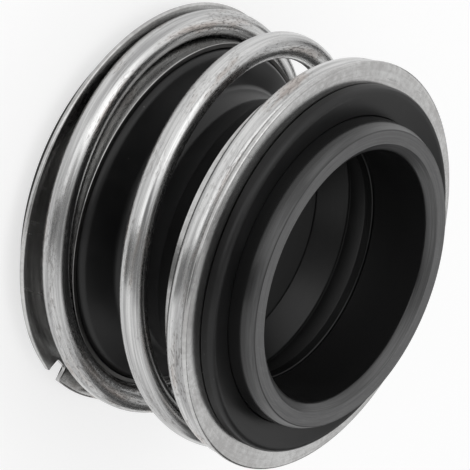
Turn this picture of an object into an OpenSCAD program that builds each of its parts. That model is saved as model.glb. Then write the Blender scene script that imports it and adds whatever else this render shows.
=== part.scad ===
// Rotating head of a rubber bellows shaft seal, standing on its rubber back rim with the seal face up.
// Millimetres. The origin is on the resting plane, on the axis of the shaft. +Z points to the seal face.
// Radial sizes are built outwards from the shaft, so every fit follows when one size changes.

/* [Overall] */
// Diameter of the shaft that the rubber tail grips
shaft_d = 28; // [22:0.5:40]
// Free height from the back of the rubber to the lapped face
free_height = 31.1; // [27:0.05:38]

/* [Seal ring] */
// Radial gap between the shaft and the bore of the seal ring
ring_bore_gap = 1.1; // [0.6:0.1:2]
// Radial width of the seal ring
ring_width = 3.3; // [2.6:0.1:4.5]
// Height of the seal ring, most of it hidden in the rubber
ring_height = 8.5; // [7:0.1:9.5]
// Radial size of the bevel on the outer edge of the lapped face
face_bevel = 0.65; // [0.3:0.05:1]
// Height of that bevel along the axis
face_bevel_height = 1.3; // [0.5:0.1:1.8]
// Radial size of the bevel on the inner edge of the lapped face
bore_bevel = 1.0; // [0.2:0.1:1.1]
// Height of that bevel along the axis
bore_bevel_height = 0.85; // [0.2:0.05:1.2]
// Size of the broken outer edge at the back of the ring
back_bevel = 0.3; // [0.1:0.05:0.5]

/* [Rubber bellows] */
// Thickness of the rubber between the seal ring and the front collar
cup_wall = 1.9; // [1.3:0.1:2.4]
// Height of the front rubber rim above the front flange, at its outer edge
front_rim_height = 1.7; // [1.3:0.05:2.2]
// How much lower the front rim is where it meets the seal ring
rim_dish = 0.65; // [0:0.05:0.8]
// Thickness of the rear rubber rim, which the part stands on
rear_rim_height = 2.3; // [1.6:0.1:3]
// Radial reach of both rubber rims outside the legs of the collars
rim_reach = 0.95; // [0.6:0.05:1.4]
// Thickness of the rubber at the neck, round the shaft
neck_wall = 1.9; // [1.5:0.1:2.5]
// Radial step from the shaft to the bottom of the fold inside the bellows
fold_depth = 2.3; // [1.5:0.1:2.6]
// Extra radius of the shoulder at the rear end of the neck
shoulder_step = 0.5; // [0.2:0.1:0.9]
// Extra radius of the bulge at the front end of the neck
bulge_step = 1.5; // [1:0.1:1.9]
// Reach of the rubber lip inside the bore of the seal ring
lip_reach = 0.25; // [0.1:0.05:0.6]
// Height of the rubber lip
lip_height = 1.1; // [0.6:0.1:1.4]
// How far the thick rubber goes on past the free end of each collar's leg
leg_cover = 0.5; // [0.2:0.1:1]
// Radius on the rubber's tight corners
soft_r = 0.4; // [0.2:0.05:0.6]
// Radius on the rubber's wide corners
wide_soft_r = 1.2; // [0.6:0.1:1.5]

/* [Pressed collars] */
// Thickness of the stainless sheet
sheet_t = 0.6; // [0.55:0.05:0.9]
// Height of the rear collar over its flange and its leg
rear_collar_height = 5.1; // [4:0.1:6.2]
// Height of the front collar over its flange and its leg
front_collar_height = 5.9; // [4:0.1:6.4]
// Distance from the lapped face back to the front of the front flange
flange_setback = 4.3; // [4:0.05:5]
// How far a flange reaches past the outside of the spring
flange_reach = 0.3; // [0.1:0.1:2]
// Radius on the outside of the bend between flange and leg
bend_r = 1.4; // [1.3:0.1:1.7]
// Radius on the sheared edges of the sheet
edge_r = 0.25; // [0.1:0.05:0.25]
// Width of the drive notch in the rim of the rear collar
notch_width = 2.6; // [2:0.1:6]
// Depth of the drive notch
notch_depth = 1.8; // [1:0.1:2.6]
// Position of the drive notch round the axis
notch_angle = 342; // [0:1:359]
// Radius in the two inner corners of the drive notch
notch_corner_r = 0.5; // [0.2:0.1:0.9]

/* [Spring] */
// Diameter of the spring wire
wire_d = 3.1; // [2.4:0.1:4]
// Direction in which the wire lifts off the rear flange
lift_angle = 213; // [0:1:359]
// Length of the slow start of the coil, in turns
start_turns = 0.11; // [0.08:0.01:0.4]
// Length of the middle of the coil, in turns
middle_turns = 1.25; // [0.8:0.05:1.4]
// Length of the run-out of the coil to the front flange, in turns
end_turns = 0.73; // [0.6:0.01:1.4]
// Pitch at the end of the slow start over the pitch at the end of the middle
pitch_ratio = 0.6; // [0.5:0.01:1]
// Size of the broken edge on each cut end of the wire
tip_bevel = 0.3; // [0.1:0.05:0.6]

/* [Fits] */
// Gap between the rubber and the pieces that it holds
rubber_gap = 0.05; // [0.02:0.01:0.1]
// Gap between the wire and the leg of a collar
leg_gap = 0.1; // [0.05:0.05:0.3]
// Gap between the wire and the flange that it sits on
seat_gap = 0.05; // [0.02:0.01:0.1]
// Gap between the cut end of the wire and the next turn
tip_gap = 0.1; // [0.05:0.05:0.5]

/* [Hidden] */
$fn = 96;

// Radii, from the shaft outwards
shaft_r = shaft_d / 2;
ring_in_r = shaft_r + ring_bore_gap;
ring_out_r = ring_in_r + ring_width;
pocket_r = ring_out_r + rubber_gap;
cup_r = pocket_r + cup_wall;
leg_in_r = cup_r + rubber_gap;
leg_out_r = leg_in_r + sheet_t;
wire_r = wire_d / 2;
coil_r = leg_out_r + leg_gap + wire_r;
flange_r = coil_r + wire_r + flange_reach;
rim_r = leg_out_r + rim_reach;
neck_r = shaft_r + neck_wall;
fold_r = shaft_r + fold_depth;

// Heights above the resting plane
front_flange_top = free_height - flange_setback;
front_leg_end = front_flange_top - front_collar_height;
rear_flange_back = rear_rim_height;
rear_flange_top = rear_flange_back + sheet_t;
rear_leg_end = rear_flange_back + rear_collar_height;
ring_bottom = free_height - ring_height;
pocket_floor = ring_bottom - rubber_gap;
rear_rim_top = rear_flange_back - rubber_gap;
front_rim_base = front_flange_top + rubber_gap;
front_rim_top = front_flange_top + front_rim_height;
coil_low = rear_flange_top + seat_gap + wire_r;
coil_high = front_flange_top - sheet_t - seat_gap - wire_r;

// The rubber folds between the tail in the rear collar and the cup in the front one
tail_top = rear_leg_end + leg_cover;
cup_base = front_leg_end - leg_cover;
fold_span = cup_base - tail_top;
shoulder_r = neck_r + shoulder_step;
bulge_r = neck_r + bulge_step;
lip_r = ring_in_r - lip_reach;

// Heights within the fold, as shares of its length
shoulder_at = 0.17;
crease_at = 0.43;
bulge_at = 0.72;
bore_end_at = 0.56;
fold_at = 0.82;

// Straight pieces per rounded corner of the rubber
corner_steps = 6;

// Rings per turn along the spring's wire, sides round it, and the step of its searches in turns
rings_per_turn = 64;
wire_sides = 18;
search_step = 1 / 512;

// Direction from point a to point b in the plane
function toward(a, b) = [b[0] - a[0], b[1] - a[1]] / norm([b[0] - a[0], b[1] - a[1]]);

// Arc that rounds corner b of the path a-b-c with the radius kept as the third number of b
function corner_arc(a, b, c) =
    let (
        u = toward(b, a),
        v = toward(b, c),
        half = acos(max(-1, min(1, u * v))) / 2,
        back = b[2] / tan(half),
        middle = (u + v) / norm(u + v),
        centre = [b[0], b[1]] + middle * (b[2] / sin(half)),
        first = [b[0], b[1]] + u * back - centre,
        turn = sign(u[0] * v[1] - u[1] * v[0]) * (2 * half - 180)
    )
    [for (i = [0:corner_steps])
        let (w = turn * i / corner_steps)
        centre + [first[0] * cos(w) - first[1] * sin(w), first[0] * sin(w) + first[1] * cos(w)]];

// Closed outline with each corner rounded by its third number, or left sharp at 0
function rounded_outline(pts) =
    let (n = len(pts))
    [for (i = [0:n - 1])
        each pts[i][2] > 0
            ? corner_arc(pts[(i + n - 1) % n], pts[i], pts[(i + 1) % n])
            : [[pts[i][0], pts[i][1]]]];

// Section of the rubber moulding: radius, height and corner radius of each corner
bellows_outline = [
    [shaft_r, 0, 0],
    [rim_r, 0, soft_r],
    [rim_r, rear_rim_top, 0],
    [cup_r, rear_rim_top, bend_r + rubber_gap],
    [cup_r, tail_top, wide_soft_r],
    [shoulder_r, tail_top + shoulder_at * fold_span, wide_soft_r],
    [neck_r, tail_top + crease_at * fold_span, wide_soft_r],
    [bulge_r, tail_top + bulge_at * fold_span, wide_soft_r],
    [cup_r, cup_base, wide_soft_r],
    [cup_r, front_rim_base, bend_r + rubber_gap],
    [rim_r, front_rim_base, 0],
    [rim_r, front_rim_top, soft_r],
    [pocket_r, front_rim_top - rim_dish, 0],
    [pocket_r, pocket_floor, 0],
    [lip_r, pocket_floor, 0],
    [lip_r, pocket_floor - lip_height, soft_r],
    [fold_r, tail_top + fold_at * fold_span, soft_r],
    [shaft_r, tail_top + bore_end_at * fold_span, soft_r]
];

// Places along the spring where its pitch changes, in turns, and the pitch there
knot_turn = [0, start_turns, start_turns + middle_turns, start_turns + middle_turns + end_turns];
knot_pitch = [0, pitch_ratio, 1, 0];
coil_turns = knot_turn[3];

// Rise of one stretch of the coil up to turn t, and of the whole coil up to turn t
function stretch_rise(i, t) =
    let (
        u = min(max(t, knot_turn[i]), knot_turn[i + 1]) - knot_turn[i],
        slope = (knot_pitch[i + 1] - knot_pitch[i]) / (knot_turn[i + 1] - knot_turn[i])
    )
    knot_pitch[i] * u + slope * u * u / 2;
function bare_rise(t) = stretch_rise(0, t) + stretch_rise(1, t) + stretch_rise(2, t);
function coil_rise(t) = (coil_high - coil_low) * bare_rise(t) / bare_rise(coil_turns);

// Each closed end runs on until its cut tip would touch the next turn
clear_rise = wire_d + tip_gap;
rear_clear_turn = min([for (t = [0:search_step:coil_turns]) if (coil_rise(t) >= clear_rise) t]);
front_clear_turn = max([for (t = [0:search_step:coil_turns])
    if (coil_high - coil_low - coil_rise(t) >= clear_rise) t]);
first_turn = rear_clear_turn - 1;
last_turn = front_clear_turn + 1;

// Ring of points round the wire at turn t, with radius r, pushed along the wire by the length ahead
function wire_ring(t, r, ahead) =
    let (
        angle = lift_angle + 360 * t,
        climb = atan((coil_rise(t + search_step) - coil_rise(t - search_step))
            / (2 * search_step * 2 * PI * coil_r)),
        out = [cos(angle), sin(angle), 0],
        up = [sin(angle) * sin(climb), -cos(angle) * sin(climb), cos(climb)],
        along = [-sin(angle) * cos(climb), cos(angle) * cos(climb), sin(climb)],
        centre = coil_r * out + [0, 0, coil_low + coil_rise(t)] + ahead * along
    )
    [for (k = [0:wire_sides - 1])
        centre + r * cos(360 * k / wire_sides) * out + r * sin(360 * k / wire_sides) * up];

ring_count = ceil((last_turn - first_turn) * rings_per_turn);
wire_rings = concat(
    [wire_ring(first_turn, wire_r - tip_bevel, -tip_bevel)],
    [for (i = [0:ring_count])
        wire_ring(first_turn + (last_turn - first_turn) * i / ring_count, wire_r, 0)],
    [wire_ring(last_turn, wire_r - tip_bevel, tip_bevel)]
);

// Section of a pressed collar of one height: flange lying on height 0, leg standing up on its inner side
module collar_section(height) {
    bend_centre = [leg_in_r + bend_r, bend_r];
    difference() {
        intersection() {
            translate(bend_centre)
                circle(r = bend_r);
            translate([leg_in_r, 0])
                square([bend_r, bend_r]);
        }
        translate(bend_centre)
            circle(r = bend_r - sheet_t);
    }
    translate([leg_in_r, bend_r])
        square([sheet_t, height - edge_r - bend_r]);
    translate([leg_in_r + edge_r, height - edge_r])
        circle(r = edge_r);
    translate([leg_out_r - edge_r, height - edge_r])
        circle(r = edge_r);
    translate([leg_in_r + edge_r, height - 2 * edge_r])
        square([sheet_t - 2 * edge_r, 2 * edge_r]);
    translate([leg_in_r + bend_r, 0])
        square([flange_r - edge_r - leg_in_r - bend_r, sheet_t]);
    translate([flange_r - edge_r, edge_r])
        circle(r = edge_r);
    translate([flange_r - edge_r, sheet_t - edge_r])
        circle(r = edge_r);
    translate([flange_r - 2 * edge_r, edge_r])
        square([2 * edge_r, sheet_t - 2 * edge_r]);
}

// One pressed collar of one height, flange down
module pressed_collar(height) {
    rotate_extrude()
        collar_section(height);
}

// Outline of the drive notch, seen along the axis, open past the rim
module notch_outline() {
    floor_r = flange_r - notch_depth;
    translate([floor_r + notch_corner_r, -notch_width / 2])
        square([notch_depth + 1, notch_width]);
    translate([floor_r, notch_corner_r - notch_width / 2])
        square([notch_depth, notch_width - 2 * notch_corner_r]);
    for (side = [-1, 1])
        translate([floor_r + notch_corner_r, side * (notch_width / 2 - notch_corner_r)])
            circle(r = notch_corner_r);
}

// Notched collar over the rear rubber rim
module rear_collar() {
    color([0.72, 0.72, 0.73])
        translate([0, 0, rear_flange_back])
            difference() {
                pressed_collar(rear_collar_height);
                rotate([0, 0, notch_angle])
                    translate([0, 0, -1])
                        linear_extrude(height = sheet_t + 2)
                            notch_outline();
            }
}

// Plain collar under the front rubber rim, leg pointing back along the seal ring
module front_collar() {
    color([0.75, 0.75, 0.76])
        translate([0, 0, front_flange_top])
            mirror([0, 0, 1])
                pressed_collar(front_collar_height);
}

// Seal ring with the lapped face on top
module seal_face() {
    color([0.23, 0.23, 0.25])
        rotate_extrude()
            polygon([
                [ring_in_r, ring_bottom],
                [ring_out_r - back_bevel, ring_bottom],
                [ring_out_r, ring_bottom + back_bevel],
                [ring_out_r, free_height - face_bevel_height],
                [ring_out_r - face_bevel, free_height],
                [ring_in_r + bore_bevel, free_height],
                [ring_in_r, free_height - bore_bevel_height]
            ]);
}

// Rubber moulding: tail on the shaft, folding cone, cup round the seal ring and a rim at each end
module bellows() {
    color([0.07, 0.07, 0.07])
        rotate_extrude()
            polygon(rounded_outline(bellows_outline));
}

// Compression spring of round wire with closed ends, right-handed
module spring() {
    last = len(wire_rings) - 1;
    points = [for (ring = wire_rings) each ring];
    sides = [for (i = [0:last - 1], k = [0:wire_sides - 1])
        let (n = (k + 1) % wire_sides)
        [i * wire_sides + k, (i + 1) * wire_sides + k, (i + 1) * wire_sides + n, i * wire_sides + n]];
    first_cap = [for (k = [0:wire_sides - 1]) k];
    last_cap = [for (k = [wire_sides - 1:-1:0]) last * wire_sides + k];
    color([0.8, 0.8, 0.81])
        polyhedron(points = points, faces = concat(sides, [first_cap], [last_cap]), convexity = 6);
}

seal_face();
bellows();
front_collar();
spring();
rear_collar();
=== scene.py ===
import math

import bpy
import numpy as np
from mathutils import Matrix, Vector


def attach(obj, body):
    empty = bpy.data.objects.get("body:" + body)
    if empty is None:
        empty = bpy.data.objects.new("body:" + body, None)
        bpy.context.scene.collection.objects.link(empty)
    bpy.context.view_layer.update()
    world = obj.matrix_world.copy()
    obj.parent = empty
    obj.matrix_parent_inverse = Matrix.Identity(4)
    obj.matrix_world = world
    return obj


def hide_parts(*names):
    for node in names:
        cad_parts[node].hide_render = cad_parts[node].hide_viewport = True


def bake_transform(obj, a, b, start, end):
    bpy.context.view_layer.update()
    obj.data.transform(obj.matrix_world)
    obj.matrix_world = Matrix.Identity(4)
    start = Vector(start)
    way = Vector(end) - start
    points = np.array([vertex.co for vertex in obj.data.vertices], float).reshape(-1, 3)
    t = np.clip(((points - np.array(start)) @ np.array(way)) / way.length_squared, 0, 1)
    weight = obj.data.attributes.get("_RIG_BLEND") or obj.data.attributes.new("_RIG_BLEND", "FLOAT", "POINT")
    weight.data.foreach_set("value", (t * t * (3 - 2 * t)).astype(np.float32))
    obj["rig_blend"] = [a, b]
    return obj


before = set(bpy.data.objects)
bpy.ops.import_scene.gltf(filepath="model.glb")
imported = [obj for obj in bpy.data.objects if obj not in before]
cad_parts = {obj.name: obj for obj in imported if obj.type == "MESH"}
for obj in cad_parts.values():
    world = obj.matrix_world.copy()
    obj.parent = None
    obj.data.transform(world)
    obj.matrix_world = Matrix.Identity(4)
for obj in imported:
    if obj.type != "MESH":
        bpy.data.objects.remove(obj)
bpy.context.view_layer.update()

# Sizes are worked out in millimetres, as the construction has them, and every mesh is made in metres
MM = 0.001

# Radii of the part
SHAFT_R = 14.0
RING_IN_R = 15.1
RING_OUT_R = 18.4
POCKET_R = 18.45
CUP_R = 20.35
LEG_IN_R = 20.4
LEG_OUT_R = 21.0
COIL_R = 22.65
RIM_R = 21.95
FLANGE_R = 24.5
NECK_R = 15.9
SHOULDER_R = 16.4
BULGE_R = 17.4
FOLD_R = 16.3
LIP_R = 14.85

# Heights of the part
FREE_HEIGHT = 31.1
RING_BOTTOM = 22.6
POCKET_FLOOR = 22.55
LIP_BOTTOM = 21.45
FRONT_FLANGE_TOP = 26.8
FRONT_RIM_BASE = 26.85
FRONT_RIM_TOP = 28.5
FRONT_RIM_INNER_TOP = 27.85
REAR_FLANGE_BACK = 2.3
REAR_RIM_TOP = 2.25
TAIL_TOP = 7.9
SHOULDER_Z = 10.03
CREASE_Z = 13.28
BULGE_Z = 16.9
CUP_BASE = 20.4
BORE_END = 14.9
FOLD_Z = 18.15

# Bevels of the seal ring, each as (radial, along the axis)
FACE_BEVEL = (0.65, 1.3)
BORE_BEVEL = (1.0, 0.85)
BACK_BEVEL = 0.3

# Pressed sheet
SHEET = 0.6
REAR_COLLAR_HEIGHT = 5.1
FRONT_COLLAR_HEIGHT = 5.9
REAR_LEG_END = 7.4
FRONT_LEG_END = 20.9
BEND_R = 1.4
EDGE_R = 0.25
NOTCH_EDGE_R = 0.1
NOTCH_WIDTH = 2.6
NOTCH_DEPTH = 1.8
NOTCH_ANGLE = math.radians(342)
NOTCH_CORNER_R = 0.5
NOTCH_MOUTH_R = 0.2

# Spring wire
WIRE_R = 1.55
COIL_LOW = 4.5
COIL_HIGH = 24.6
LIFT_ANGLE = math.radians(213)
PITCH_KNOTS = ((0.0, 0.0), (0.11, 0.6), (1.36, 1.0), (2.09, 0.0))
TIP_GAP = 0.1
TIP_BEVEL = 0.3
FULL_TURN = 2 * math.pi

# Points of an outline nearer than this are one point
SAME_POINT = 0.0001
SHARP_EDGE = math.radians(32)

# Photograph's width and the camera's focal length, both in pixels
PHOTO_WIDTH = 470
FOCAL_LENGTH = 3400


# Camera at the photograph's viewing angle

def photo_camera():
    """Camera whose view matches the photograph: 33 degrees above the floor and rolled."""
    data = bpy.data.cameras.new("photo_camera")
    data.sensor_width = 36.0
    data.lens = data.sensor_width * FOCAL_LENGTH / PHOTO_WIDTH
    camera = bpy.data.objects.new("photo_camera", data)
    right = Vector((-0.37182, 0.51126, 0.77483)).normalized()
    back = Vector((0.0, -0.83467, 0.55075)).normalized()
    up = back.cross(right)
    place = Matrix((right, up, back)).transposed().to_4x4()
    place.translation = Vector((0.00027, -0.32914, 0.23115))
    camera.matrix_world = place
    bpy.context.collection.objects.link(camera)
    bpy.context.scene.camera = camera


photo_camera()


# Node trees

class Value:
    """Output of a node that Python's operators work on, each adding a Math node to the same tree."""

    def __init__(self, bench, socket):
        self.bench = bench
        self.socket = socket

    def math(self, operation, *others):
        return self.bench.math(operation, self, *others)

    def __add__(self, other):
        return self.bench.math("ADD", self, other)

    def __sub__(self, other):
        return self.bench.math("SUBTRACT", self, other)

    def __rsub__(self, other):
        return self.bench.math("SUBTRACT", other, self)

    def __mul__(self, other):
        return self.bench.math("MULTIPLY", self, other)

    def __truediv__(self, other):
        return self.bench.math("DIVIDE", self, other)

    __radd__ = __add__
    __rmul__ = __mul__

    def between(self, low, high):
        """Smooth step of this value, from 0 at low to 1 at high."""
        inputs = {"Value": self, "From Min": low, "From Max": high}
        return self.bench.node("ShaderNodeMapRange", {"interpolation_type": "SMOOTHSTEP"}, inputs)


class Bench:
    """Node tree in the making, for a material, the world or Geometry Nodes."""

    def __init__(self, tree):
        self.tree = tree
        tree.nodes.clear()

    def feed(self, socket, value):
        if isinstance(value, Value):
            self.tree.links.new(value.socket, socket)
        else:
            socket.default_value = value

    def node(self, kind, settings=None, inputs=None, give=0):
        made = self.tree.nodes.new(kind)
        for name, value in (settings or {}).items():
            setattr(made, name, value)
        for name, value in (inputs or {}).items():
            self.feed(made.inputs[name], value)
        return Value(self, made.outputs[give]) if made.outputs else made

    def math(self, operation, *values):
        return self.node("ShaderNodeMath", {"operation": operation}, dict(enumerate(values)))

    def vector(self, operation, *values, give=0):
        return self.node("ShaderNodeVectorMath", {"operation": operation}, dict(enumerate(values)), give)

    def joined(self, x, y, z):
        return self.node("ShaderNodeCombineXYZ", None, {"X": x, "Y": y, "Z": z})

    def parts(self, vector):
        split = self.node("ShaderNodeSeparateXYZ", None, {"Vector": vector})
        return [Value(self, socket) for socket in split.socket.node.outputs]

    def noise(self, vector, scale, detail=3.0, roughness=0.55):
        inputs = {"Vector": vector, "Scale": scale, "Detail": detail, "Roughness": roughness}
        return self.node("ShaderNodeTexNoise", {"normalize": True}, inputs)

    def mix(self, factor, first, second):
        """Colour between two colours."""
        return self.node("ShaderNodeMix", {"data_type": "RGBA"}, {0: factor, 6: first, 7: second}, 2)

    def bump(self, height, distance, strength=1.0):
        inputs = {"Height": height, "Distance": distance, "Strength": strength}
        return self.node("ShaderNodeBump", None, inputs)


def finish(name, paint):
    """Material whose Principled shader gets the inputs that paint(bench) returns."""
    material = bpy.data.materials.new(name)
    material.use_nodes = True
    bench = Bench(material.node_tree)
    shader = bench.node("ShaderNodeBsdfPrincipled", None, paint(bench))
    bench.node("ShaderNodeOutputMaterial", None, {"Surface": shader})
    return material


# Finishes

def drawn_wire(bench):
    """Stainless wire: draw lines along it, fine dull stipple in patches and a warm tint here and there,
    painted to stand in for warm reflections.
    """
    wire = bench.node("ShaderNodeAttribute", {"attribute_name": "wire_place"}, None, 1)
    lines = bench.noise(bench.vector("MULTIPLY", wire, (70.0, 3600.0, 3600.0)), 1.0, 4.0, 0.7)
    streaks = bench.noise(bench.vector("MULTIPLY", wire, (35.0, 1000.0, 1000.0)), 1.0, 2.0, 0.5)
    stipple = bench.noise(bench.vector("MULTIPLY", wire, (1500.0, 6000.0, 6000.0)), 1.0, 2.0, 0.6)
    patches = bench.noise(bench.vector("MULTIPLY", wire, (110.0, 420.0, 420.0)), 1.0, 3.0, 0.55)
    dull = stipple.between(0.48, 0.66) * patches.between(0.45, 0.62)
    # Warm tint in random patches: painted reflection, standing in for the warm colour that the wire reflects
    warm_reflection_tint = patches.between(0.54, 0.68) * streaks.between(0.35, 0.6)
    even = lines * 0.6 + streaks * 0.4
    bright = bench.mix(even.between(0.36, 0.64), (0.36, 0.36, 0.36, 1.0), (0.68, 0.68, 0.675, 1.0))
    warm = bench.mix(warm_reflection_tint * 0.5, bright, (0.33, 0.26, 0.22, 1.0))
    colour = bench.mix(dull * 0.55, warm, (0.14, 0.13, 0.125, 1.0))
    height = lines * 0.7 - dull * 0.25
    return {
        "Base Color": colour,
        "Metallic": 1.0,
        "Roughness": 0.16 + lines * 0.14 + dull * 0.25,
        "Normal": bench.bump(height, 0.00003, 0.3),
    }


def pressed_sheet(bench):
    """Pressed stainless: fine polishing lines round the axis, mottling, a few short scratches, and the
    sheared leg ends darkened as painted shade.
    """
    place = bench.node("ShaderNodeTexCoord", None, None, 3)
    x, y, z = bench.parts(place)
    radius = bench.math("SQRT", x * x + y * y)
    round_axis = bench.joined(x / radius * 1.6, y / radius * 1.6, (radius + z) * 3000.0)
    lines = bench.noise(round_axis, 1.0, 3.0, 0.6)
    cloud = bench.noise(place, 170.0, 3.0, 0.5)
    mottle = bench.noise(place, 1500.0, 3.0, 0.6)
    scratch = bench.noise(bench.vector("MULTIPLY", place, (900.0, 120.0, 500.0)), 1.0, 2.0, 0.5)
    marked = scratch.between(0.66, 0.74)
    tone = cloud * 0.35 + mottle * 0.3 + lines * 0.35
    bright = bench.mix(tone.between(0.38, 0.62), (0.40, 0.395, 0.39, 1.0), (0.58, 0.58, 0.575, 1.0))
    # Free ends of the collar legs: sheared edges, rougher, with their colour darkened to near black as
    # painted shade
    rear_end = z.between((REAR_LEG_END - 0.07) * MM, (REAR_LEG_END - 0.02) * MM)
    front_end = z.between((FRONT_LEG_END + 0.02) * MM, (FRONT_LEG_END + 0.07) * MM)
    sheared_end_shade = rear_end * (1.0 - front_end)
    return {
        "Base Color": bench.mix(sheared_end_shade * 0.9, bright, (0.07, 0.068, 0.066, 1.0)),
        "Metallic": 1.0,
        "Roughness": 0.16 + lines * 0.14 + marked * 0.12 + sheared_end_shade * 0.2,
        "Normal": bench.bump(lines * 0.7 + mottle * 0.3, 0.00002, 0.35),
    }


def moulded_rubber(bench):
    """Black moulded rubber: even fine grain, faint rings from the mould and a little pale dust."""
    place = bench.node("ShaderNodeTexCoord", None, None, 3)
    x, y, z = bench.parts(place)
    radius = bench.math("SQRT", x * x + y * y)
    round_axis = bench.joined(x / radius * 1.5, y / radius * 1.5, (radius + z) * 1500.0)
    rings = bench.noise(round_axis, 1.0, 3.0, 0.6)
    grain = bench.noise(place, 5200.0, 2.0, 0.6)
    cloud = bench.noise(place, 210.0, 4.0, 0.6)
    dust = bench.noise(place, 2600.0, 1.0, 0.5).between(0.80, 0.84)
    black = bench.mix(cloud.between(0.35, 0.75), (0.003, 0.003, 0.0032, 1.0), (0.008, 0.008, 0.0082, 1.0))
    return {
        "Base Color": bench.mix(dust, black, (0.12, 0.12, 0.12, 1.0)),
        "Roughness": 0.26 + cloud * 0.10 + grain * 0.05 + rings * 0.08,
        "Specular IOR Level": 0.38,
        "Normal": bench.bump(grain * 0.5 + rings * 0.5, 0.00003, 0.3),
    }


def lapped_ring(bench):
    """Dark seal ring: plain walls, greyer bevels, and fine lapping lines and scratches on the face."""
    place = bench.node("ShaderNodeTexCoord", None, None, 3)
    x, y, z = bench.parts(place)
    radius = bench.math("SQRT", x * x + y * y)
    round_axis = bench.joined(x / radius * 2.0, y / radius * 2.0, (radius + z) * 5200.0)
    lines = bench.noise(round_axis, 1.0, 3.0, 0.7)
    scratch = bench.noise(bench.vector("MULTIPLY", place, (5200.0, 420.0, 1.0)), 1.0, 2.0, 0.5)
    crossed = bench.noise(bench.vector("MULTIPLY", place, (700.0, 4600.0, 1.0)), 1.0, 2.0, 0.5)
    specks = bench.noise(place, 2200.0, 3.0, 0.6)
    nose = z.between((FREE_HEIGHT - 1.2) * MM, (FREE_HEIGHT - 0.35) * MM)
    face = z.between((FREE_HEIGHT - 0.06) * MM, (FREE_HEIGHT - 0.02) * MM)
    streaky = lines.between(0.34, 0.66)
    wall = bench.mix(streaky, (0.009, 0.009, 0.009, 1.0), (0.012, 0.012, 0.0122, 1.0))
    bevel = bench.mix(streaky, (0.035, 0.035, 0.0355, 1.0), (0.085, 0.085, 0.086, 1.0))
    scratched = scratch.between(0.55, 0.75) * 0.3 + crossed.between(0.6, 0.8) * 0.2
    worn = scratched + streaky * 0.6 + specks * 0.2
    lapped = bench.mix(worn, (0.055, 0.055, 0.056, 1.0), (0.135, 0.135, 0.136, 1.0))
    # Thin dark circle painted round the outer edge of the lapped face, where it rounds over into the bevel;
    # the outline has no groove there
    edge = (RING_OUT_R - FACE_BEVEL[0]) * MM
    past_edge = radius.between(edge + 0.00001, edge + 0.00006)
    dark_edge_circle = radius.between(edge - 0.00014, edge - 0.00008) * (1.0 - past_edge)
    shown = bench.mix(face, bench.mix(nose, wall, bevel), lapped)
    relief = (lines * 0.7 + scratch * 0.15 + crossed * 0.15) * (nose * 0.9 + 0.1)
    return {
        "Base Color": bench.mix(dark_edge_circle * 0.85, shown, (0.012, 0.012, 0.012, 1.0)),
        "Roughness": 0.26 + lines * nose * 0.14 + face * 0.04,
        "IOR": 1.55,
        "Normal": bench.bump(relief, 0.000015, 0.3),
    }


WIRE = finish("drawn_stainless_wire", drawn_wire)
SHEET_STEEL = finish("pressed_stainless_sheet", pressed_sheet)
RUBBER = finish("black_moulded_rubber", moulded_rubber)
RING = finish("lapped_seal_ring", lapped_ring)


# Turned pieces

def corner_arc(before, corner, after, steps):
    """Points of the arc that rounds one corner of an outline."""
    b = np.array(corner[:2], float)
    u = np.array(before[:2], float) - b
    v = np.array(after[:2], float) - b
    u /= np.linalg.norm(u)
    v /= np.linalg.norm(v)
    half = math.acos(max(-1.0, min(1.0, float(u @ v)))) / 2
    radius = corner[2]
    middle = (u + v) / np.linalg.norm(u + v)
    centre = b + middle * radius / math.sin(half)
    first = b + u * radius / math.tan(half) - centre
    turn = math.copysign(math.pi - 2 * half, -(u[0] * v[1] - u[1] * v[0]))
    arc = []
    for step in range(steps + 1):
        w = turn * step / steps
        c, s = math.cos(w), math.sin(w)
        arc.append(tuple(centre + (first[0] * c - first[1] * s, first[0] * s + first[1] * c)))
    return arc


def rounded(outline, steps=8):
    """Outline of (radius, height) points, from corners that hold their rounding as a third number."""
    path = []
    for k, corner in enumerate(outline):
        if corner[2] > 0:
            path += corner_arc(outline[k - 1], corner, outline[(k + 1) % len(outline)], steps)
        else:
            path.append(corner[:2])
    return path


def supported(path, near=0.03, longest=1.2):
    """Outline with extra points on its straight runs, so that shading turns only at their ends."""
    full = []
    for k, start in enumerate(path):
        a = np.array(start, float)
        b = np.array(path[(k + 1) % len(path)], float)
        length = float(np.linalg.norm(b - a))
        if length < SAME_POINT:
            continue
        full.append(a)
        if length > 4 * near:
            cuts = max(1, math.ceil((length - 2 * near) / longest))
            for cut in range(cuts + 1):
                full.append(a + (b - a) * (near + (length - 2 * near) * cut / cuts) / length)
    return np.array(full)


def grid_piece(name, columns, material, body, node):
    """Closed piece from columns of points that run round the axis, each column a closed loop."""
    columns = np.asarray(columns, float)
    count, tall, _ = columns.shape
    a, k = np.meshgrid(np.arange(count), np.arange(tall), indexing="ij")
    a2, k2 = (a + 1) % count, (k + 1) % tall
    quads = np.stack([a * tall + k, a2 * tall + k, a2 * tall + k2, a * tall + k2], -1).reshape(-1, 4)
    return piece(name, columns.reshape(-1, 3) * MM, quads.tolist(), material, body, node)


def piece(name, points, faces, material, body, node):
    """Mesh object that stands for a CAD node and rides on its body, or on none where body is None."""
    mesh = bpy.data.meshes.new(name)
    mesh.from_pydata(points.tolist(), [], faces)
    mesh.update()
    return placed(bpy.data.objects.new(name, mesh), material, body, node)


def placed(made, material, body, node):
    """Shade and link a finished piece, hide the CAD node that it stands for and put it on its body."""
    mesh = made.data
    mesh.materials.clear()
    mesh.materials.append(material)
    mesh.shade_smooth()
    mesh.set_sharp_from_angle(angle=SHARP_EDGE)
    bpy.context.collection.objects.link(made)
    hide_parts(node)
    if body:
        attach(made, body)
    return made


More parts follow.
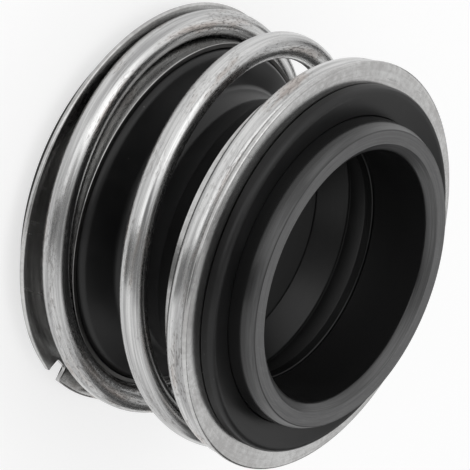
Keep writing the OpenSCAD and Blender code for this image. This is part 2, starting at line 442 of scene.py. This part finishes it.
def turned(name, outline, material, body, node, around=288):
    """Closed piece turned round the shaft axis from an outline."""
    angle = np.arange(around) * FULL_TURN / around
    path = supported(outline)
    columns = np.empty((around, len(path), 3))
    columns[:, :, 0] = np.cos(angle)[:, None] * path[:, 0]
    columns[:, :, 1] = np.sin(angle)[:, None] * path[:, 0]
    columns[:, :, 2] = path[:, 1]
    return grid_piece(name, columns, material, body, node)


# Seal ring

ring_outline = rounded([
    (RING_IN_R, RING_BOTTOM, 0.08),
    (RING_OUT_R - BACK_BEVEL, RING_BOTTOM, 0.05),
    (RING_OUT_R, RING_BOTTOM + BACK_BEVEL, 0.05),
    (RING_OUT_R, FREE_HEIGHT - FACE_BEVEL[1], 2.0),
    (RING_OUT_R - FACE_BEVEL[0], FREE_HEIGHT, 0.15),
    (RING_IN_R + BORE_BEVEL[0], FREE_HEIGHT, 0.06),
    (RING_IN_R, FREE_HEIGHT - BORE_BEVEL[1], 0.6),
])
turned("lapped_seal_ring", ring_outline, RING, "face_end", "seal_face")

# Rubber bellows

bellows_outline = rounded([
    (SHAFT_R, 0.0, 0.2),
    (RIM_R, 0.0, 0.4),
    (RIM_R, REAR_RIM_TOP, 0.15),
    (CUP_R, REAR_RIM_TOP, BEND_R + 0.05),
    (CUP_R, TAIL_TOP, 1.2),
    (SHOULDER_R, SHOULDER_Z, 1.2),
    (NECK_R, CREASE_Z, 1.2),
    (BULGE_R, BULGE_Z, 1.2),
    (CUP_R, CUP_BASE, 1.2),
    (CUP_R, FRONT_RIM_BASE, BEND_R + 0.05),
    (RIM_R, FRONT_RIM_BASE, 0.15),
    (RIM_R, FRONT_RIM_TOP, 0.7),
    (POCKET_R, FRONT_RIM_INNER_TOP, 0.12),
    (POCKET_R, POCKET_FLOOR, 0.1),
    (LIP_R, POCKET_FLOOR, 0.15),
    (LIP_R, LIP_BOTTOM, 0.4),
    (FOLD_R, FOLD_Z, 0.4),
    (SHAFT_R, BORE_END, 0.4),
])
bellows = turned("rubber_bellows", bellows_outline, RUBBER, None, "bellows")
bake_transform(bellows, "drive_end", "face_end", (0, 0, (TAIL_TOP + 0.2) * MM), (0, 0, (CUP_BASE - 0.2) * MM))


# Pressed collars

def collar_leg(height, tip=0.12, steps=10):
    """Inner part of a collar's section, from under the bend, over the leg and down to the flange's top."""
    quarter = [math.pi / 2 * step / steps for step in range(steps + 1)]
    bend = LEG_IN_R + BEND_R
    inside = BEND_R - SHEET
    top = height - tip
    path = [(bend + 0.03, 0.0)]
    path += [(bend - BEND_R * math.sin(w), BEND_R - BEND_R * math.cos(w)) for w in quarter]
    path += [(LEG_IN_R, BEND_R + (top - BEND_R) * share) for share in (0.01, 0.5, 0.99)]
    path += [(LEG_IN_R + tip - tip * math.cos(w), top + tip * math.sin(w)) for w in quarter]
    path += [(LEG_OUT_R - tip + tip * math.sin(w), top + tip * math.cos(w)) for w in quarter]
    path += [(LEG_OUT_R, BEND_R + (top - BEND_R) * share) for share in (0.99, 0.5, 0.01)]
    path += [(bend - inside * math.cos(w), BEND_R - inside * math.sin(w)) for w in quarter]
    return path + [(bend + 0.03, SHEET)]


def collar_edge(edge, steps=8):
    """Outer part of a collar's section as (inset from the rim, height), from the top round to the bottom."""
    quarter = [math.pi / 2 * step / steps for step in range(steps + 1)]
    path = [(edge + 0.03, SHEET)]
    path += [(edge - edge * math.sin(w), SHEET - edge + edge * math.cos(w)) for w in quarter]
    path += [(edge - edge * math.cos(w), edge - edge * math.sin(w)) for w in quarter]
    return path + [(edge + 0.03, 0.0)]


def front_collar():
    """Plain collar in front of the spring, its leg pointing back along the seal ring."""
    section = collar_leg(FRONT_COLLAR_HEIGHT)
    section += [(FLANGE_R - inset, height) for inset, height in collar_edge(EDGE_R)]
    outline = [(radius, FRONT_FLANGE_TOP - height) for radius, height in section]
    turned("front_collar_pressing", outline, SHEET_STEEL, "face_end", "front_collar")


def notch_walls(half, floor):
    """Points down one wall of the drive notch, along its floor and up the other wall, along +X."""
    mouth = math.sqrt(FLANGE_R ** 2 - half ** 2)
    along = (half / FLANGE_R * 8, mouth / FLANGE_R * 8)
    corners = rounded([
        (mouth - along[0], -half - along[1], 0),
        (mouth, -half, NOTCH_MOUTH_R),
        (floor, -half, NOTCH_CORNER_R),
        (floor, half, NOTCH_CORNER_R),
        (mouth, half, NOTCH_MOUTH_R),
        (mouth - along[0], half + along[1], 0),
    ])[1:-1]
    path = [corners[0]]
    for start, stop in zip(corners, corners[1:]):
        cuts = max(1, round(math.dist(start, stop) / 0.25))
        for cut in range(1, cuts + 1):
            share = cut / cuts
            path.append((start[0] + (stop[0] - start[0]) * share, start[1] + (stop[1] - start[1]) * share))
    return path


def rear_collar(around=280):
    """Collar over the rear rubber rim, with the drive notch cut through its flange."""
    notch = np.array(notch_walls(NOTCH_WIDTH / 2, FLANGE_R - NOTCH_DEPTH))
    side = math.atan2(notch[-1][1], notch[-1][0])
    circle = np.linspace(side, FULL_TURN - side, around + 1)[1:-1]
    rim = np.concatenate([notch, np.stack([np.cos(circle), np.sin(circle)], 1) * FLANGE_R])
    inner = np.concatenate([np.linspace(-side, side, len(notch)), circle])
    along = np.roll(rim, -1, 0) - np.roll(rim, 1, 0)
    along /= np.linalg.norm(along, axis=1)[:, None]
    out = np.stack([along[:, 1], -along[:, 0]], 1)
    from_mouth = (np.abs(inner) - side).clip(0, None) * FLANGE_R
    from_mouth = np.where(inner > math.pi, (FULL_TURN - inner - side) * FLANGE_R, from_mouth)
    share = (from_mouth / 1.2).clip(0, 1)
    edges = NOTCH_EDGE_R + (EDGE_R - NOTCH_EDGE_R) * share * share * (3 - 2 * share)
    leg = collar_leg(REAR_COLLAR_HEIGHT)
    columns = []
    for point, normal, angle, edge in zip(rim, out, inner, edges):
        column = [(radius * math.cos(angle), radius * math.sin(angle), height) for radius, height in leg]
        for inset, height in collar_edge(edge):
            column.append((point[0] - normal[0] * inset, point[1] - normal[1] * inset, height))
        columns.append(column[::-1])
    columns = np.array(columns)
    c, s = math.cos(NOTCH_ANGLE), math.sin(NOTCH_ANGLE)
    x, y = columns[:, :, 0].copy(), columns[:, :, 1].copy()
    columns[:, :, 0] = c * x - s * y
    columns[:, :, 1] = s * x + c * y
    columns[:, :, 2] += REAR_FLANGE_BACK
    grid_piece("rear_collar_pressing", columns, SHEET_STEEL, "drive_end", "rear_collar")


front_collar()
rear_collar()


# Spring

def coil_rise(turn):
    """Rise of the coil up to a turn, from its pitch at each knot."""
    def bare(t):
        total = 0.0
        for (t0, p0), (t1, p1) in zip(PITCH_KNOTS, PITCH_KNOTS[1:]):
            u = min(max(t, t0), t1) - t0
            total += p0 * u + (p1 - p0) / (t1 - t0) * u * u / 2
        return total
    return (COIL_HIGH - COIL_LOW) * bare(turn) / bare(PITCH_KNOTS[-1][0])


def tip_turns():
    """Turns at which the two closed ends stop, each just clear of the next turn."""
    clear = 2 * WIRE_R + TIP_GAP
    steps = [step / 512 for step in range(int(PITCH_KNOTS[-1][0] * 512) + 1)]
    rear = min(t for t in steps if coil_rise(t) >= clear)
    front = max(t for t in steps if COIL_HIGH - COIL_LOW - coil_rise(t) >= clear)
    return rear - 1, front + 1, rear, front


def spring_tree(material, rings, sides):
    """Geometry Nodes tree that winds and skins the wire, with the sizes of the spring as its inputs."""
    tree = bpy.data.node_groups.new("wound_wire", "GeometryNodeTree")
    tree.is_modifier = True
    tree.interface.new_socket(name="Geometry", in_out="OUTPUT", socket_type="NodeSocketGeometry")
    names = ["Coil radius", "Wire radius", "Low centre", "Rise", "Lift angle", "First turn", "Last turn",
             "Start turns", "Middle turns", "End turns", "Pitch ratio", "Tip bevel"]
    for name in names:
        tree.interface.new_socket(name=name, in_out="INPUT", socket_type="NodeSocketFloat")
    bench = Bench(tree)
    group = tree.nodes.new("NodeGroupInput")
    size = {name: Value(bench, group.outputs[name]) for name in names}

    line = bench.node("GeometryNodeCurvePrimitiveLine")
    line = bench.node("GeometryNodeResampleCurve", None, {"Curve": line, "Count": rings})
    index = bench.node("GeometryNodeInputIndex")
    span = size["Last turn"] - size["First turn"]
    bevel_turn = size["Tip bevel"] / (size["Coil radius"] * FULL_TURN)
    turn = size["First turn"] + (index - 1.0) / (rings - 3.0) * span
    turn = turn.math("MAXIMUM", size["First turn"] - bevel_turn)
    turn = turn.math("MINIMUM", size["Last turn"] + bevel_turn)

    def stretch(value, start, length, pitch, change):
        u = (value - start).math("MAXIMUM", 0.0).math("MINIMUM", length)
        return u * pitch + u * u * change / (length * 2.0)

    def bare(value):
        ratio = size["Pitch ratio"]
        first = stretch(value, 0.0, size["Start turns"], 0.0, ratio)
        second = stretch(value, size["Start turns"], size["Middle turns"], ratio, 1.0 - ratio)
        third = stretch(value, size["Start turns"] + size["Middle turns"], size["End turns"], 1.0, -1.0)
        return first + second + third

    whole = size["Start turns"] + size["Middle turns"] + size["End turns"]
    rise = size["Rise"] * bare(turn) / bare(whole)
    angle = size["Lift angle"] + turn * FULL_TURN
    radius = size["Coil radius"]
    across, along = radius * angle.math("COSINE"), radius * angle.math("SINE")
    place = bench.joined(across, along, size["Low centre"] + rise)
    wire = bench.node("GeometryNodeSetPosition", None, {"Geometry": line, "Position": place})
    wire = bench.node("GeometryNodeSetCurveNormal", {"mode": "Z_UP"}, {"Curve": wire})
    tips = (index.math("LESS_THAN", 0.5) + index.math("GREATER_THAN", rings - 1.5)).math("MINIMUM", 1.0)
    thin = 1.0 - tips * (size["Tip bevel"] / size["Wire radius"])
    store = {"data_type": "FLOAT", "domain": "POINT"}
    wire = bench.node("GeometryNodeStoreNamedAttribute", store,
                      {"Geometry": wire, "Name": "turn", "Value": turn})
    section = bench.node("GeometryNodeCurvePrimitiveCircle", None,
                         {"Resolution": sides, "Radius": size["Wire radius"]})
    share = bench.node("GeometryNodeInputIndex") / sides
    section = bench.node("GeometryNodeStoreNamedAttribute", store,
                         {"Geometry": section, "Name": "around", "Value": share})
    skin = bench.node("GeometryNodeCurveToMesh", None,
                      {"Curve": wire, "Profile Curve": section, "Scale": thin, "Fill Caps": True})
    turns = bench.node("GeometryNodeInputNamedAttribute", {"data_type": "FLOAT"}, {"Name": "turn"})
    shares = bench.node("GeometryNodeInputNamedAttribute", {"data_type": "FLOAT"}, {"Name": "around"})
    straight = bench.joined(turns * FULL_TURN * radius,
                            (shares * FULL_TURN).math("COSINE") * size["Wire radius"],
                            (shares * FULL_TURN).math("SINE") * size["Wire radius"])
    skin = bench.node("GeometryNodeStoreNamedAttribute", {"data_type": "FLOAT_VECTOR", "domain": "POINT"},
                      {"Geometry": skin, "Name": "wire_place", "Value": straight})
    skin = bench.node("GeometryNodeRealizeInstances", None, {"Geometry": skin})
    skin = bench.node("GeometryNodeSetMaterial", None, {"Geometry": skin, "Material": material})
    bench.node("NodeGroupOutput", None, {"Geometry": skin})
    return tree


def wound_spring():
    """Round wire wound into the spring, whose middle turns close up as the face end moves."""
    first, last, rear_clear, front_clear = tip_turns()
    tree = spring_tree(WIRE, 760, 48)
    holder = bpy.data.objects.new("wire_holder", bpy.data.meshes.new("wire_holder"))
    bpy.context.collection.objects.link(holder)
    modifier = holder.modifiers.new("winding", "NODES")
    modifier.node_group = tree
    sizes = {
        "Coil radius": COIL_R * MM,
        "Wire radius": WIRE_R * MM,
        "Low centre": COIL_LOW * MM,
        "Rise": (COIL_HIGH - COIL_LOW) * MM,
        "Lift angle": LIFT_ANGLE,
        "First turn": first,
        "Last turn": last,
        "Start turns": PITCH_KNOTS[1][0],
        "Middle turns": PITCH_KNOTS[2][0] - PITCH_KNOTS[1][0],
        "End turns": PITCH_KNOTS[3][0] - PITCH_KNOTS[2][0],
        "Pitch ratio": PITCH_KNOTS[1][1],
        "Tip bevel": TIP_BEVEL * MM,
    }
    for item in tree.interface.items_tree:
        if item.in_out == "INPUT":
            modifier[item.identifier] = sizes[item.name]
    graph = bpy.context.evaluated_depsgraph_get()
    mesh = bpy.data.meshes.new_from_object(holder.evaluated_get(graph))
    bpy.data.objects.remove(holder)
    mesh.name = "coil_spring"
    spring = bpy.data.objects.new("coil_spring", mesh)
    placed(spring, WIRE, None, "spring")
    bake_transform(spring, "drive_end", "face_end", (0, 0, COIL_LOW * MM), (0, 0, COIL_HIGH * MM))
    turns = np.empty(len(mesh.vertices), np.float32)
    mesh.attributes["turn"].data.foreach_get("value", turns)
    share = np.clip((turns - rear_clear) / (front_clear - rear_clear), 0, 1)
    mesh.attributes["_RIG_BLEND"].data.foreach_set("value", share * share * (3 - 2 * share))


wound_spring()


# Stage and light

CENTRE = Vector((0.0, 0.0, 0.015))


def direction(azimuth, elevation):
    a, e = math.radians(azimuth), math.radians(elevation)
    return Vector((math.cos(e) * math.cos(a), math.cos(e) * math.sin(a), math.sin(e)))


def aimed(made, azimuth, elevation, distance):
    """Put a lamp or card at a direction from the part, turned to face it."""
    away = direction(azimuth, elevation)
    facing = away.to_track_quat("Z", "Y").to_matrix().to_4x4()
    made.matrix_world = Matrix.Translation(CENTRE + away * distance) @ facing
    bpy.context.collection.objects.link(made)


def softbox(name, azimuth, elevation, width, height, glow, distance=0.7):
    """Area lamp, its size in degrees as the part sees it, and its glow as the white that it shows."""
    data = bpy.data.lights.new(name, "AREA")
    data.shape = "RECTANGLE"
    data.size = 2 * distance * math.tan(math.radians(width / 2))
    data.size_y = 2 * distance * math.tan(math.radians(height / 2))
    data.energy = glow * math.pi * data.size * data.size_y
    aimed(bpy.data.objects.new(name, data), azimuth, elevation, distance)


def card(name, azimuth, elevation, width, height, grey, distance=0.9):
    """Grey card that only reflections show, its width and height in degrees as the part sees it."""
    x = distance * math.tan(math.radians(width / 2))
    y = distance * math.tan(math.radians(height / 2))
    mesh = bpy.data.meshes.new(name)
    mesh.from_pydata([(-x, -y, 0), (x, -y, 0), (x, y, 0), (-x, y, 0)], [], [(0, 1, 2, 3)])
    material = bpy.data.materials.new(name)
    material.use_nodes = True
    bench = Bench(material.node_tree)
    glow = bench.node("ShaderNodeEmission", None, {"Color": (grey, grey, grey, 1.0)})
    bench.node("ShaderNodeOutputMaterial", None, {"Surface": glow})
    mesh.materials.append(material)
    made = bpy.data.objects.new(name, mesh)
    for sight in ("camera", "diffuse", "transmission", "volume_scatter", "shadow"):
        setattr(made, "visible_" + sight, False)
    aimed(made, azimuth, elevation, distance)
    return made


def floor_card(name, azimuth, near, far, width, grey):
    """Grey card lying on the floor on one side of the part, as wide in degrees as the part sees it."""
    made = card(name, azimuth, 0, 10, 10, grey)
    spread = math.tan(math.radians(width / 2))
    ends = [(near, -near * spread), (far, -far * spread), (far, far * spread), (near, near * spread)]
    for corner, (along, across) in zip(made.data.vertices, ends):
        corner.co = (along, across, 0)
    made.matrix_world = Matrix.Translation((0, 0, -0.00001)) @ Matrix.Rotation(math.radians(azimuth), 4, "Z")


def seen_directly(bench):
    """1 for a camera, glossy or transmission ray, 0 for a diffuse one."""
    path = bench.node("ShaderNodeLightPath").socket.node
    camera, glossy, through = (Value(bench, path.outputs[name]) for name in
                               ("Is Camera Ray", "Is Glossy Ray", "Is Transmission Ray"))
    return (camera + glossy + through).math("MINIMUM", 1.0)


def white_floor():
    half = 3.0
    mesh = bpy.data.meshes.new("floor")
    corners = [(-half, -half, 0), (half, -half, 0), (half, half, 0), (-half, half, 0)]
    mesh.from_pydata(corners, [], [(0, 1, 2, 3)])
    material = bpy.data.materials.new("white_floor")
    material.use_nodes = True
    bench = Bench(material.node_tree)
    lit = bench.node("ShaderNodeBsdfDiffuse", None, {"Color": (0.8, 0.8, 0.8, 1.0)})
    shade = bench.node("ShaderNodeBsdfDiffuse", None, {"Color": (0.52, 0.52, 0.52, 1.0)})
    glow = bench.node("ShaderNodeEmission", None, {"Color": (0.62, 0.62, 0.62, 1.0)})
    white = bench.node("ShaderNodeAddShader", None, {0: shade, 1: glow})
    surface = bench.node("ShaderNodeMixShader", None, {0: seen_directly(bench), 1: lit, 2: white})
    bench.node("ShaderNodeOutputMaterial", None, {"Surface": surface})
    mesh.materials.append(material)
    floor = bpy.data.objects.new("floor", mesh)
    floor.location.z = -0.00002
    bpy.context.collection.objects.link(floor)


def studio_world():
    world = bpy.data.worlds.new("studio")
    world.use_nodes = True
    bench = Bench(world.node_tree)
    soft = bench.node("ShaderNodeBackground", None, {"Color": (0.6, 0.6, 0.6, 1.0)})
    white = bench.node("ShaderNodeBackground", None, {"Color": (1.0, 1.0, 1.0, 1.0)})
    surface = bench.node("ShaderNodeMixShader", None, {0: seen_directly(bench), 1: soft, 2: white})
    bench.node("ShaderNodeOutputWorld", None, {"Surface": surface})
    bpy.context.scene.world = world


white_floor()
studio_world()
softbox("key_softbox", -142, 52, 44, 44, 0.75)
softbox("side_softbox", -98, 18, 36, 30, 0.6)
card("camera_side_card", -75, 56, 44, 56, 0.36)
card("camera_card", -64, 14, 24, 28, 0.24)
card("ceiling_card", 90, 88, 34, 34, 0.6)
card("low_back_card", 82, 6, 86, 29, 0.08)
card("right_back_card", 56, 33, 30, 40, 0.12)
card("high_back_card", 86, 53, 40, 20, 0.15)
floor_card("camera_floor_card", -64, 0.04, 0.5, 22, 0.24)
bpy.context.scene.view_settings.view_transform = "Standard"
